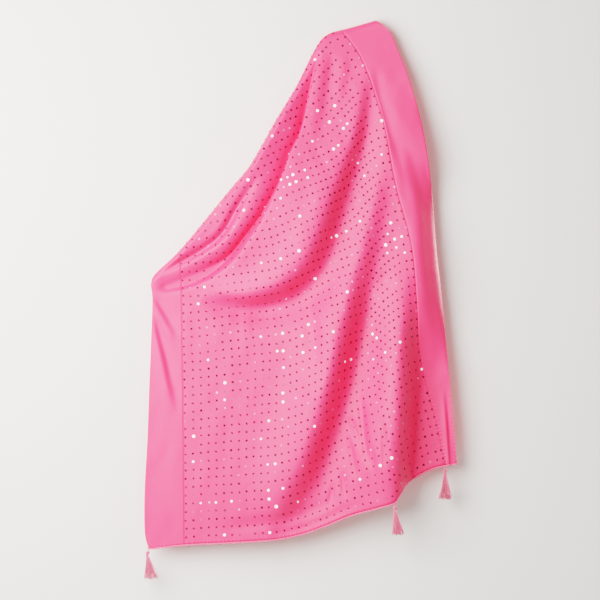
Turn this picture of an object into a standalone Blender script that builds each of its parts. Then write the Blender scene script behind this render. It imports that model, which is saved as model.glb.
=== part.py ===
# A dupatta stole hung against a wall, folded in half over its holds.
# Frame: metres, +Z up, the front of the cloth faces -Y, and the wall side is +Y.
# The origin is the top hold, just under the fold.

import math

import bmesh
import bpy
import numpy as np
from mathutils import Vector

MM = 0.001

# ---- driving sizes, in millimetres ----
STOLE_WIDTH = 792.0         # selvedge to selvedge, laid flat
BORDER_WIDTH = 81.0         # plain strip down each selvedge
LEFT_DROP = 590.0           # front hem to the fold, down the left selvedge
RIGHT_DROP = 1030.0         # front hem to the fold, down the right selvedge
FOLD_CORNER = 671.0         # how far across the stole its fold turns slanting
FOLD_BOW = 1.7              # how fully the slanting fold bows out, 1 is straight
CLOTH = 1.2                 # wall of every panel
SEAM_GAP = 0.3              # clear space between pieces sewn together
HEM_RADIUS = 1.6            # narrow rolled hem
ROLL_RADIUS = 15.0          # soft turn of the cloth over its fold
BACK_STAND = 9.0            # how far the back half lies behind the hold
BACK_INSET = 26.0           # how far the back half stays inside the front, each side
BACK_SHORTER = 12.0         # how much higher the hem of the back half hangs

SEAM_LEFT = BORDER_WIDTH
SEAM_RIGHT = STOLE_WIDTH - BORDER_WIDTH

# ---- how the cloth hangs: x to the right and z up from the hold, in millimetres ----
# front hem: across (distance from the left selvedge, on the cloth), x, z
HEM_LINE = [
    (0, -449, -1141), (12, -438, -1143), (81, -369, -1135), (220, -229, -1128),
    (290, -160, -1122), (345, -108, -1111), (398, -58, -1093), (458, -2, -1070),
    (520, 58, -1052), (556, 92, -1041), (578, 104, -1026), (602, 120, -1002),
    (640, 150, -982), (676, 180, -968), (711, 208, -961), (792, 232, -957),
]
# fold that the cloth hangs from: across, x, z
FOLD_LINE = [
    (0, -444, -559), (18, -435, -537), (81, -381, -485), (169, -315, -406),
    (240, -266, -346), (299, -229, -302), (360, -196, -247), (420, -167, -195),
    (519, -125, -126), (601, -91, -58), (644, -75, -29), (671, -62, -13),
    (690, -44, -3), (711, -24, 2), (745, 12, 11), (775, 45, 21), (792, 62, 17),
]
# lines down the cloth, from the front hem up to the fold: x, z
LEFT_EDGE = [
    (-449, -1141), (-457, -1105), (-457, -1014), (-451, -902), (-447, -790),
    (-443, -690), (-440, -595), (-444, -559),
]
LEFT_SEAM = [(-369, -1135), (-371, -900), (-374, -690), (-376, -560), (-381, -485)]
RIGHT_SEAM = [
    (208, -961), (198, -920), (187, -865), (172, -810), (156, -745), (147, -685),
    (142, -594), (130, -473), (95, -337), (73, -216), (48, -130), (21, -61),
    (-4, -22), (-24, 2),
]
RIGHT_EDGE = [
    (232, -957), (226, -889), (216, -780), (207, -680), (197, -575), (187, -484),
    (173, -354), (156, -240), (139, -165), (117, -90), (99, -43), (84, -5), (62, 17),
]

# ---- folds: x, z, width, depth down each line, from the top, in millimetres ----
# a slope rises to a ridge on the left of its line and sinks to a valley on its right
SLOPES = {
    "swag": [
        (34, -95, 13, 0), (24, -140, 15, 9), (9, -222, 18, 17), (-11, -297, 21, 22),
        (-42, -383, 23, 25), (-66, -458, 25, 27), (-97, -530, 26, 26),
        (-150, -580, 24, 20), (-213, -603, 20, 12), (-273, -600, 16, 5),
        (-330, -590, 12, 0),
    ],
    "middle": [
        (78, -300, 13, 0), (70, -345, 16, 6), (57, -407, 19, 13), (40, -484, 21, 19),
        (22, -560, 23, 24), (5, -650, 25, 28), (-15, -737, 27, 30),
        (-46, -847, 28, 29), (-82, -942, 29, 22), (-135, -1020, 30, 10),
        (-185, -1075, 28, 0),
    ],
    "side": [
        (138, -550, 16, 0), (134, -630, 21, 12), (129, -700, 24, 22),
        (131, -781, 26, 28), (128, -865, 26, 30), (119, -948, 25, 29),
        (111, -1030, 23, 26),
    ],
}
# a pleat sinks slowly to its line, then turns up sharply beyond it
PLEATS = {
    "crescent": [
        (-70, -45, 14, 0), (-84, -92, 22, 8), (-95, -145, 28, 16), (-111, -227, 32, 23),
        (-134, -277, 34, 26), (-158, -334, 36, 28), (-198, -407, 34, 28),
        (-231, -458, 30, 25), (-264, -495, 26, 20), (-308, -524, 22, 14),
        (-356, -546, 17, 8), (-411, -559, 12, 2),
    ],
}
# a trough sinks alike on both sides, and rises where its depth is negative
TROUGHS = {
    "inner": [
        (-227, -350, 14, 0), (-257, -391, 12, 3), (-284, -431, 11, 5),
        (-315, -461, 10, 6), (-348, -492, 9, 6), (-393, -517, 8, 4), (-432, -540, 7, 1),
    ],
    "shoulder": [
        (-98, -95, 16, 0), (-140, -180, 18, -7), (-178, -250, 20, -10),
        (-214, -312, 20, -10), (-270, -385, 20, -9), (-335, -455, 18, -7),
        (-405, -530, 12, -2),
    ],
    "crown": [(-50, -60, 12, 0), (-56, -100, 12, 4), (-66, -160, 12, 4), (-82, -245, 12, 0)],
}
PLEAT_RISE = 0.55           # share of a pleat's width in which it turns up again
FIELD_SWAY = (24.0, 20.0)   # the field's middle stands right of and above the straight line

# ---- how far the cloth stands off, in millimetres ----
STAND_LEFT_X = -450.0       # where the front begins to lean out, at its left edge
STAND_REACH = 680.0         # how far to the right it goes on leaning out
STAND_POWER = 1.2           # how late across it does so
STAND_DEPTH = 230.0         # how far down it does most of that
STAND_LEAST = 13.0          # at the fold and down the left edge
STAND_MORE = 52.0           # what the right adds
STAND_FLOOR = 8.0           # no part of the front comes nearer the wall
BORDER_FOLLOWS = 0.35       # share of the folds' run that the right border follows
BORDER_CLEAR = 9.0          # the turned border stops this far from the back half

# back half: waves as height, length from crest to crest over two pi, start, and their depth
BACK_WAVES = [(3.0, 62.0, 0.6), (1.5, 31.0, 0.0)]
BACK_DEPTH = 300.0

# ---- soft swellings: x, z, reach across, reach up, height ----
SWELLINGS = [
    (-130, -390, 120, 160, 30),   # pouch of the swag
    (-250, -440, 90, 90, 12),     # its lower left, towards the shoulder
    (-40, -700, 80, 200, 9),      # broad fold left of the middle slope
    (75, -700, 60, 240, 8),       # ridge between the middle and side slopes
]

# ---- tassels: place along the hem, clear space below it, lean of the head, and the skirt's ----
# ---- sweep to the right, drop and spread ----
TASSELS = {
    "tassel_left": {"across": 2.0, "below": 0.6, "lean": -3.5, "sweep": 9.0, "drop": 49.0, "spread": 17.0},
    "tassel_middle": {"across": 559.0, "below": 1.8, "lean": -1.0, "sweep": 7.0, "drop": 51.0, "spread": 14.5},
    "tassel_right": {"across": 706.0, "below": 0.8, "lean": 0.5, "sweep": 1.0, "drop": 55.0, "spread": 15.5},
}
# loop, knot, binding and skirt top, turned round the tassel: below the hem, radius
TASSEL_PROFILE = [
    (0.0, 1.1), (3.0, 1.1), (4.2, 2.8), (6.5, 4.1), (9.2, 4.1), (11.2, 2.9), (12.8, 2.9), (15.2, 4.3),
]
STRANDS_ACROSS = 4          # strands stand in a square of this many rows
STRAND_SHARE = 0.6          # width of a strand's root in its cell
STRAND_FLARE = 1.5          # how much wider a strand's end is
STRAND_STEPS = [0.3, 0.65, 1.0]
SKIRT_DEPTH = 8.5           # spread of the skirt towards and away from the wall

# ---- mesh steps ----
FIELD_COLUMNS = 32
LEFT_COLUMNS = 4
RIGHT_COLUMNS = 6
FRONT_ROWS = 32
ROLL_ROWS = 6
BACK_ROWS = 11
HEM_SIDES = 5


# ---- curves ----
def smoothRows(rows, steps=12):
    # A smooth curve through each row of the table, by Catmull and Rom's rule.
    rows = np.array(rows, float)
    first, second = rows[:-1], rows[1:]
    before = np.vstack([2 * rows[0] - rows[1], rows[:-2]])
    after = np.vstack([rows[2:], 2 * rows[-1] - rows[-2]])
    share = np.linspace(0.0, 1.0, steps, endpoint=False)[:, None, None]
    curve = 0.5 * (
        2 * first
        + (second - before) * share
        + (2 * before - 5 * first + 4 * second - after) * share**2
        + (3 * first - before - 3 * second + after) * share**3
    )
    curve = curve.transpose(1, 0, 2).reshape(-1, rows.shape[1])
    return np.vstack([curve, rows[-1]])


class Guide:
    # A line on the cloth, read by its share of length or by its first column.
    def __init__(self, rows, keyed=False):
        self.rows = smoothRows(rows)
        if keyed:
            self.key = np.maximum.accumulate(self.rows[:, 0])
            self.rows = self.rows[:, 1:]
        else:
            steps = np.linalg.norm(np.diff(self.rows[:, :2], axis=0), axis=1)
            self.key = np.concatenate([[0.0], np.cumsum(steps)])
            self.key /= self.key[-1]

    def at(self, key):
        columns = [np.interp(key, self.key, column) for column in self.rows.T]
        return np.stack(columns, axis=-1)


hemLine = Guide(HEM_LINE, keyed=True)
foldLine = Guide(FOLD_LINE, keyed=True)
leftEdge = Guide(LEFT_EDGE)
leftSeam = Guide(LEFT_SEAM)
rightSeam = Guide(RIGHT_SEAM)
rightEdge = Guide(RIGHT_EDGE)


# ---- the hanging cloth, seen square on ----
def dropAt(across):
    # Length of the front half down the cloth, from the fold to the hem.
    slanting = np.clip(1.0 - across / FOLD_CORNER, 0.0, 1.0) ** FOLD_BOW
    return RIGHT_DROP - (RIGHT_DROP - LEFT_DROP) * slanting


def patch(across, up, start, end, startLine, endLine):
    # The stretch between two lines down the cloth, with its hem and its fold.
    share = ((across - start) / (end - start))[..., None]
    up = up[..., None]
    hem, fold = hemLine.at(across), foldLine.at(across)
    sides = (1 - share) * startLine.at(up[..., 0]) + share * endLine.at(up[..., 0])
    corners = (1 - share) * ((1 - up) * hemLine.at(start) + up * foldLine.at(start))
    corners = corners + share * ((1 - up) * hemLine.at(end) + up * foldLine.at(end))
    return (1 - up) * hem + up * fold + sides - corners


def turnedShare(up):
    # How far the right border has turned away from the front, 0 to 1.
    width = np.linalg.norm(rightEdge.at(up) - rightSeam.at(up), axis=-1)
    return np.sqrt(np.clip(1.0 - (width / BORDER_WIDTH) ** 2, 0.0, 1.0))


def outlinePoint(across, up):
    # x and z of a point of the cloth, given its distance across and its share of the drop.
    onLeft = across <= SEAM_LEFT
    onRight = across >= SEAM_RIGHT
    place = patch(across, up, SEAM_LEFT, SEAM_RIGHT, leftSeam, rightSeam)
    share = np.clip((across - SEAM_LEFT) / (SEAM_RIGHT - SEAM_LEFT), 0.0, 1.0)
    sway = np.sin(math.pi * share) * np.sin(math.pi * up**1.25)
    place = place + sway[..., None] * np.array(FIELD_SWAY)
    left = patch(across, up, 0.0, SEAM_LEFT, leftEdge, leftSeam)
    share = np.clip((across - SEAM_RIGHT) / BORDER_WIDTH, 0.0, 1.0)
    rounded = share + (np.sin(share * math.pi / 2) - share) * turnedShare(up)
    bent = SEAM_RIGHT + rounded * BORDER_WIDTH
    right = patch(np.where(onRight, bent, across), up, SEAM_RIGHT, STOLE_WIDTH, rightSeam, rightEdge)
    place = np.where(onLeft[..., None], left, place)
    return np.where(onRight[..., None], right, place)


# ---- how far the cloth stands off ----
def foldFrame(rows, x, z):
    # Signed distance from the fold's line, its width and depth there, fading past its ends.
    line = smoothRows(rows, 6)
    heading = np.gradient(line[:, :2], axis=0)
    heading /= np.linalg.norm(heading, axis=1)[:, None]
    apart = np.stack([x[..., None] - line[:, 0], z[..., None] - line[:, 1]], axis=-1)
    nearest = np.argmin((apart**2).sum(axis=-1), axis=-1)
    offset = np.take_along_axis(apart, nearest[..., None, None], axis=-2)[..., 0, :]
    ahead = heading[nearest]
    distance = ahead[..., 0] * offset[..., 1] - ahead[..., 1] * offset[..., 0]
    past = (ahead * offset).sum(axis=-1)
    width = line[nearest, 2]
    depth = line[nearest, 3] * np.exp(-((past / (2 * width)) ** 2))
    return distance, width, depth


def standOff(x, z):
    # Distance of the front half in front of the hold, in millimetres.
    rightward = np.clip((x - STAND_LEFT_X) / STAND_REACH, 0.0, 1.2) ** STAND_POWER
    downward = 1.0 - np.exp(np.minimum(z, 0.0) / STAND_DEPTH)
    stand = STAND_LEAST + STAND_MORE * rightward * downward
    for centreX, centreZ, reachX, reachZ, height in SWELLINGS:
        away = ((x - centreX) / reachX) ** 2 + ((z - centreZ) / reachZ) ** 2
        stand = stand + height * np.exp(-away)
    for rows in SLOPES.values():
        distance, width, depth = foldFrame(rows, x, z)
        share = distance / width
        stand = stand - depth * share * np.exp(0.5 - share**2 / 2)
    for rows in PLEATS.values():
        distance, width, depth = foldFrame(rows, x, z)
        share = distance / width
        sinking = np.exp(-(np.minimum(share, 0.0) ** 2))
        rising = np.exp(-((np.maximum(share, 0.0) / PLEAT_RISE) ** 2))
        stand = stand - depth * sinking * rising
    for rows in TROUGHS.values():
        distance, width, depth = foldFrame(rows, x, z)
        stand = stand - depth * np.exp(-((distance / width) ** 2))
    return stand


def backStand(x, z):
    # Distance of the back half behind the hold, with its shallow waves.
    downward = 1.0 - np.exp(np.minimum(z, 0.0) / BACK_DEPTH)
    waves = sum(height * np.sin(x / length + start) for height, length, start in BACK_WAVES)
    return BACK_STAND + downward * waves


# ---- the cloth as a surface ----
# along runs from 0 at the front hem to 1, over the fold to 2, and down to 3 at the back hem
def clothPoint(across, along):
    across, along = np.broadcast_arrays(np.asarray(across, float), np.asarray(along, float))
    drop = dropAt(across)
    angle = math.pi / 2 - math.pi * np.clip(along - 1.0, 0.0, 1.0)
    level = 1.0 - ROLL_RADIUS / drop
    shorter = BACK_SHORTER * np.clip(along - 2.0, 0.0, 1.0) / drop
    up = np.where(along <= 1.0, along * level, (3.0 - along) * level + shorter)
    rolling = (along > 1.0) & (along < 2.0)
    up = np.where(rolling, 1.0 - ROLL_RADIUS * (1.0 - np.cos(angle)) / drop, up)
    inside = np.clip(along - 1.5, 0.0, 1.0)
    inside = BACK_INSET * inside * inside * (3 - 2 * inside) * (1.0 - up) ** 0.35
    inset = across + inside * (1.0 - 2.0 * across / STOLE_WIDTH)
    place = outlinePoint(inset, up)
    x, z = place[..., 0], place[..., 1]
    stand = standOff(x, z)
    # the right border turns back round the side
    share = np.clip((across - SEAM_RIGHT) / BORDER_WIDTH, 0.0, 1.0)
    seam = rightSeam.at(up)
    room = np.maximum(standOff(seam[..., 0], seam[..., 1]) - BORDER_CLEAR, 0.0)
    turned = np.minimum(turnedShare(up) * BORDER_WIDTH, room)
    followed = seam[..., 0] + (x - seam[..., 0]) * BORDER_FOLLOWS
    held = standOff(np.where(share > 0, followed, x), z)
    stand = np.where(share > 0, held - turned * (1.0 - np.cos(share * math.pi / 2)), stand)
    stand = np.maximum(stand, STAND_FLOOR)
    y = np.where(angle >= 0, -stand * np.sin(angle), backStand(x, z) * np.sin(-angle))
    return np.stack([x, y, z], axis=-1)


def clothNormal(across, along):
    # Unit direction out of the cloth's face, towards the viewer on the front half.
    side = clothPoint(across + 2.0, along) - clothPoint(across - 2.0, along)
    length = clothPoint(across, np.minimum(along + 0.01, 3.0)) - clothPoint(across, np.maximum(along - 0.01, 0.0))
    normal = np.cross(side, length)
    return normal / np.linalg.norm(normal, axis=-1)[..., None]


# ---- solids ----
def makeMaterial(name, colour, roughness):
    material = bpy.data.materials.new(name)
    material.use_nodes = True
    shader = material.node_tree.nodes["Principled BSDF"]
    shader.inputs["Base Color"].default_value = (*colour, 1.0)
    shader.inputs["Roughness"].default_value = roughness
    shader.inputs["Metallic"].default_value = 0.0
    material.diffuse_color = (*colour, 1.0)
    return material


def addSolid(name, points, faces, material):
    mesh = bpy.data.meshes.new(name)
    mesh.from_pydata((np.asarray(points) * MM).tolist(), [], faces)
    mesh.validate()
    mesh.shade_smooth()
    mesh.set_sharp_from_angle(angle=math.radians(50))
    mesh.materials.append(material)
    bpy.context.collection.objects.link(bpy.data.objects.new(name, mesh))


def addPanel(name, across, along, material):
    # A wall of cloth: its face, the same grid one thickness behind, and a rim round both.
    grid = np.meshgrid(across, along)
    face = clothPoint(*grid)
    lining = face - CLOTH * clothNormal(*grid)
    rows, columns = face.shape[:2]
    points = np.vstack([face.reshape(-1, 3), lining.reshape(-1, 3)])
    under = rows * columns
    faces = []
    for row in range(rows - 1):
        for column in range(columns - 1):
            corner = row * columns + column
            quad = (corner, corner + 1, corner + columns + 1, corner + columns)
            faces += [(quad[0], quad[1], quad[2]), (quad[0], quad[2], quad[3])]
            quad = [under + index for index in quad]
            faces += [(quad[2], quad[1], quad[0]), (quad[3], quad[2], quad[0])]
    rim = list(range(columns))
    rim += [row * columns + columns - 1 for row in range(1, rows)]
    rim += [(rows - 1) * columns + column for column in range(columns - 2, -1, -1)]
    rim += [row * columns for row in range(rows - 2, 0, -1)]
    for first, second in zip(rim, rim[1:] + rim[:1]):
        faces += [(second, first, under + first), (second, under + first, under + second)]
    addSolid(name, points, faces, material)


def addHem(name, across, along, sign, material):
    # A rolled hem: a thin tube just beyond the panels' lower edge. Gives its middle line.
    along = np.full_like(across, along)
    edge = clothPoint(across, along) - CLOTH / 2 * clothNormal(across, along)
    normal = clothNormal(across, along)
    heading = np.gradient(edge, axis=0)
    heading /= np.linalg.norm(heading, axis=1)[:, None]
    outward = np.cross(heading, normal) * sign
    outward /= np.linalg.norm(outward, axis=1)[:, None]
    centre = edge + outward * (HEM_RADIUS + SEAM_GAP)
    points = []
    for step in range(HEM_SIDES):
        angle = 2 * math.pi * step / HEM_SIDES
        points.append(centre + HEM_RADIUS * (math.cos(angle) * outward + math.sin(angle) * normal))
    points = np.stack(points, axis=1).reshape(-1, 3)
    faces = []
    count = len(across)
    for ring in range(count - 1):
        for step in range(HEM_SIDES):
            corner = ring * HEM_SIDES + step
            beside = ring * HEM_SIDES + (step + 1) % HEM_SIDES
            faces += [(corner, beside, beside + HEM_SIDES), (corner, beside + HEM_SIDES, corner + HEM_SIDES)]
    faces.append(tuple(range(HEM_SIDES - 1, -1, -1)))
    faces.append(tuple((count - 1) * HEM_SIDES + step for step in range(HEM_SIDES)))
    if sign > 0:
        faces = [tuple(reversed(face)) for face in faces]
    addSolid(name, points, faces, material)
    return centre


def discPoint(first, second):
    # A point of the unit disc for one of the square from -1 to 1.
    return first * math.sqrt(1 - second**2 / 2), second * math.sqrt(1 - first**2 / 2)


def addTassel(name, top, tassel, material):
    # One body: a turned head, and strands drawn out of the cells of its underside.
    cells = STRANDS_ACROSS
    shape = bmesh.new()
    length, radius = TASSEL_PROFILE[-1]
    sides = [(step, 0) for step in range(cells)] + [(cells, step) for step in range(cells)]
    sides += [(cells - step, cells) for step in range(cells)] + [(0, cells - step) for step in range(cells)]

    def gridDisc(i, j):
        return discPoint(2 * i / cells - 1, 2 * j / cells - 1)

    def axisPoint(down):
        return top + Vector((tassel["lean"] * down / length, 0.0, -down))

    rings = []
    for down, wide in TASSEL_PROFILE[:-1]:
        middle = axisPoint(down)
        ring = []
        for i, j in sides:
            u, v = gridDisc(i, j)
            ring.append(shape.verts.new(middle + wide * Vector((u, v, 0.0)).normalized()))
        rings.append(ring)
    root = axisPoint(length)
    under = {}
    for i in range(cells + 1):
        for j in range(cells + 1):
            u, v = gridDisc(i, j)
            under[i, j] = shape.verts.new(root + radius * Vector((u, v, 0.0)))
    rings.append([under[side] for side in sides])
    shape.faces.new(rings[0])
    for above, below in zip(rings, rings[1:]):
        for step in range(len(sides)):
            after = (step + 1) % len(sides)
            shape.faces.new((above[step], above[after], below[after], below[step]))
    for i in range(cells):
        for j in range(cells):
            cell = [under[i, j], under[i + 1, j], under[i + 1, j + 1], under[i, j + 1]]
            middle = sum((vert.co for vert in cell), Vector()) / 4
            offset = middle - root
            uneven = 1.0 + 0.05 * math.sin(2.4 * i + 1.7 * j)
            last = cell
            for share in [0.0] + STRAND_STEPS:
                spread = share**1.3
                centre = root + Vector((
                    offset.x * (1 + (tassel["spread"] / radius - 1) * spread) + tassel["sweep"] * share,
                    offset.y * (1 + (SKIRT_DEPTH / radius - 1) * spread),
                    -tassel["drop"] * share * uneven,
                ))
                wide = STRAND_SHARE * (1 + (STRAND_FLARE - 1) * share)
                loop = [shape.verts.new(centre + (vert.co - middle) * wide) for vert in cell]
                for step in range(4):
                    after = (step + 1) % 4
                    shape.faces.new((last[step], last[after], loop[after], loop[step]))
                last = loop
            shape.faces.new(last)
    bmesh.ops.recalc_face_normals(shape, faces=shape.faces)
    bmesh.ops.scale(shape, vec=(MM, MM, MM), verts=shape.verts)
    mesh = bpy.data.meshes.new(name)
    shape.to_mesh(mesh)
    shape.free()
    mesh.shade_smooth()
    mesh.set_sharp_from_angle(angle=math.radians(60))
    mesh.materials.append(material)
    bpy.context.collection.objects.link(bpy.data.objects.new(name, mesh))


def main():
    for item in list(bpy.data.objects):
        bpy.data.objects.remove(item)

    pink = makeMaterial("pink_cloth", (0.93, 0.20, 0.43), 0.55)
    thread = makeMaterial("tassel_thread", (0.93, 0.38, 0.55), 0.6)

    hemUp = 2 * HEM_RADIUS + SEAM_GAP
    bottom = hemUp / RIGHT_DROP
    split = 2.0 + SEAM_GAP / LEFT_DROP
    front = np.concatenate([
        np.linspace(bottom, 1.0, FRONT_ROWS),
        np.linspace(1.0, 2.0, ROLL_ROWS)[1:],
    ])
    back = np.linspace(split, 3.0 - bottom, BACK_ROWS)
    half = SEAM_GAP / 2
    strips = {
        "border_left": np.linspace(0.0, SEAM_LEFT - half, LEFT_COLUMNS + 1),
        "field": np.linspace(SEAM_LEFT + half, SEAM_RIGHT - half, FIELD_COLUMNS + 1),
        "border_right": np.linspace(SEAM_RIGHT + half, STOLE_WIDTH, RIGHT_COLUMNS + 1),
    }
    for name, across in strips.items():
        addPanel(name + "_front", across, front, pink)
        addPanel(name + "_back", across, back, pink)

    across = np.concatenate(list(strips.values()))
    centre = addHem("hem_front", across, bottom, 1.0, pink)
    addHem("hem_back", across, 3.0 - bottom, -1.0, pink)
    for name, tassel in TASSELS.items():
        place = [np.interp(tassel["across"], across, column) for column in centre.T]
        place[2] -= HEM_RADIUS + tassel["below"]
        addTassel(name, Vector(place), tassel, thread)


main()
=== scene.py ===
# A pink sequinned stole, hung folded in half against a wall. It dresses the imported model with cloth, hems,
# seams, stitches, sequins and tassels. Lengths in the tables are millimetres, on the cloth or from the hold.
import math

import bpy
import numpy as np
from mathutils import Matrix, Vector


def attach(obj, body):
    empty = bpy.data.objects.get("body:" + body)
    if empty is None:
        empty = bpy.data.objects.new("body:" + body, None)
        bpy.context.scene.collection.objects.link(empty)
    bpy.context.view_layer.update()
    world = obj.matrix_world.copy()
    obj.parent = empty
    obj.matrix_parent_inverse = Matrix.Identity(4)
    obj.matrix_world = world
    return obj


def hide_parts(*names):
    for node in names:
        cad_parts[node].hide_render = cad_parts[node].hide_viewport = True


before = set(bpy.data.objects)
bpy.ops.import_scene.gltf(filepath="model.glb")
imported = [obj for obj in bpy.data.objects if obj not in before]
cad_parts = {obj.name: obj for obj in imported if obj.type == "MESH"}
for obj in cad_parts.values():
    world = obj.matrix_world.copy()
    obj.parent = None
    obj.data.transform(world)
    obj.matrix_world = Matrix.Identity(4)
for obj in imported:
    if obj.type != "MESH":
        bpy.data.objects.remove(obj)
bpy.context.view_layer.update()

mm = 0.001
print("frame loaded with", len(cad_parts), "nodes")


# the cloth and the way it hangs: x to the right and z up from the hold
cloth = {
    "width": 792.0,                # selvedge to selvedge, laid flat
    "border": 81.0,                # plain strip down each selvedge
    "leftDrop": 590.0,             # front hem to fold down the left selvedge
    "rightDrop": 1030.0,           # and down the right one
    "foldCorner": 671.0,           # how far across the fold turns slanting
    "foldBow": 1.7,
    "thickness": 0.8,
    "hemGap": 3.5,                 # the panels end this far above the hem's lower edge
    "roll": 15.0,                  # soft turn over the fold
    "sway": (24.0, 20.0),          # the field's middle stands right of and above the straight line
    "swayBow": 1.25,               # above 1 it does so most in the upper half
    "frontStand": (13.0, 52.0),    # the front half stands off by this, and by this much more low at the right
    "standFrom": -450.0,           # x where it begins to stand off more
    "standAcross": 680.0,
    "standBow": 1.2,
    "standDown": 230.0,            # two thirds of it is reached this far down
    "leastStand": 8.0,             # no part of the front comes nearer the hold's plane
    "leastBlend": 2.5,
    "borderClear": 9.0,            # the turned border stops this far in front of that plane
    "borderFollows": 0.35,         # how far across the folds the turned border follows them
    "turnBlend": 6.0,
    "turnSoft": (0.015, 0.02),     # rounds the start of the border's turn
    "tuck": (4.0, 10.0),           # how far the front leans back at its hem, left and right
    "tuckAt": -150.0,              # x where it changes from one to the other
    "tuckBlend": 45.0,
    "tuckReach": 71.0,
    "backStand": 9.0,              # the back half behind the hold
    "backDown": 300.0,
    "backWaves": [(3.0, 62.0, 0.6), (1.5, 31.0, 0.0)],     # height, length, start
    "backInset": 26.0,             # its sides stay this far inside the front's
    "insetBow": 0.35,
    "backShorter": 12.0,
}
seamLeft = cloth["border"]
seamRight = cloth["width"] - cloth["border"]
hemShare = cloth["hemGap"] / cloth["rightDrop"]
# how a fold runs across and along its line
foldShape = {
    "steps": 6,                    # steps of the curve from one row of its table to the next
    "reach": 5.0,                  # widths from its rows where it no longer counts
    "furthest": 9.0,
    "fade": 2.0,                   # widths over which it runs out past its ends
    "flank": 0.62,                 # how much more gently a slope's outer sides run out
    "uneven": (0.1, 1.5),          # a slope's valley is deeper than its ridge by this share, and how soon
    "pleatRise": (9.5, 4.6),       # how far a pleat takes to turn up again, low down and high up
    "pleatLevels": (-500.0, -350.0),
    "pleatRound": 0.2,             # rounds the pleat at its line
    "pleatOver": (0.0, 9.0),       # how far the lit side of a pleat falls over its valley
    "overRise": 1.8,               # it does so fully at this many rises
    "overReach": 2.2,              # and over this many widths
    "overDepth": 25.0,             # for pleats of this depth or more
}

# front hem: distance across the cloth, x, z
hemRows = [
    (0, -449, -1141), (12, -438, -1143), (81, -369, -1135), (220, -229, -1128),
    (290, -160, -1122), (345, -108, -1111), (398, -58, -1093), (458, -2, -1070),
    (520, 58, -1052), (556, 92, -1041), (578, 104, -1026), (602, 120, -1002),
    (640, 150, -982), (676, 180, -968), (711, 208, -961), (792, 232, -957),
]
# the fold that the cloth hangs from: distance across, x, z
foldRows = [
    (0, -444, -559), (18, -435, -537), (81, -381, -485), (169, -315, -406),
    (240, -266, -346), (299, -229, -302), (360, -196, -247), (420, -167, -195),
    (519, -125, -126), (601, -91, -58), (644, -75, -29), (671, -62, -13),
    (690, -44, -3), (711, -24, 2), (745, 12, 12), (772, 42, 21), (783, 54, 24), (792, 63, 18),
]
# lines down the cloth, from the front hem up to the fold: x, z
leftEdgeRows = [
    (-449, -1141), (-457, -1105), (-457, -1014), (-451, -902), (-447, -790),
    (-443, -690), (-440, -595), (-444, -559),
]
leftSeamRows = [(-369, -1135), (-371, -900), (-374, -690), (-376, -560), (-381, -485)]
rightSeamRows = [
    (208, -961), (198, -920), (187, -865), (172, -810), (156, -745), (147, -685),
    (142, -594), (130, -473), (95, -337), (73, -216), (48, -130), (21, -61),
    (-4, -22), (-24, 2),
]
rightEdgeRows = [
    (232, -957), (226, -889), (216, -780), (207, -680), (197, -575), (187, -484),
    (176, -354), (160, -240), (143, -165), (120, -90), (101, -43), (85, -5), (62, 17),
]

# folds: x, z, width and depth down each line
# a slope rises to a ridge on the left of its line and sinks to a valley on its right
slopes = {
    "swag": [
        (34, -95, 13, 0), (30, -140, 13, 4), (18, -222, 17, 10), (-5, -297, 21, 15),
        (-35, -383, 25, 19), (-60, -458, 27, 22), (-91, -523, 29, 24),
        (-146, -572, 26, 25), (-210, -594, 21, 20), (-273, -594, 16, 10), (-330, -586, 12, 0),
    ],
    "middle": [
        (78, -300, 15, 0), (70, -345, 19, 3), (57, -407, 23, 6.5), (40, -484, 26, 12),
        (20, -560, 28, 17.5), (1, -650, 31, 27), (-20, -737, 33, 30), (-50, -847, 34, 30),
        (-80, -935, 34, 27), (-116, -1010, 33, 20), (-155, -1066, 30, 9), (-195, -1098, 28, 0),
    ],
    "side": [
        (134, -530, 18, 0), (131, -610, 24, 8), (128, -690, 27, 21), (130, -781, 29, 31),
        (127, -865, 31, 37), (126, -948, 33, 38), (120, -1030, 31, 34),
    ],
    "crown": [
        (-50, -50, 9, 0), (-56, -90, 12, 3.4), (-62, -135, 13, 3.8), (-70, -190, 13, 2.6), (-84, -250, 12, 0),
    ],
    "crownRight": [(-10, -50, 9, 0), (-14, -85, 11, 1.6), (-22, -130, 12, 1.4), (-34, -180, 12, 0)],
    "borderUpper": [(-440, -588, 5, 0), (-425, -612, 6, 2.8), (-404, -650, 8, 3.0), (-387, -684, 8, 0)],
    "borderLower": [
        (-438, -624, 5, 0), (-426, -680, 6, 3.8), (-412, -735, 7, 4.4), (-402, -785, 8, 3.6),
        (-388, -845, 8, 0),
    ],
}
# slopes on the right border alone
borderSlopes = {
    "upper": [(46, -77, 6, 0), (57, -152, 8, 2), (79, -231, 9, 2.5), (101, -301, 9, 1.5), (118, -400, 8, 0)],
    "mid": [
        (112, -250, 10, 0), (128, -306, 13, 3), (146, -370, 14, 4.5), (156, -430, 15, 4.5),
        (158, -500, 16, 4.5), (166, -580, 15, 3), (177, -660, 13, 1.5), (186, -740, 10, 0),
    ],
    "selvedge": [
        (203, -790, 4, 0), (208, -840, 4, 3), (212, -890, 4, 5.5), (215, -925, 4, 7), (218, -962, 4, 7),
    ],
}
# beyond a step down the cloth stays further back
stepDowns = {
    "side": [
        (140, -480, 26, 0), (134, -600, 26, 6), (130, -720, 28, 19), (128, -865, 30, 26),
        (115, -1030, 30, 28),
    ],
}
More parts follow.
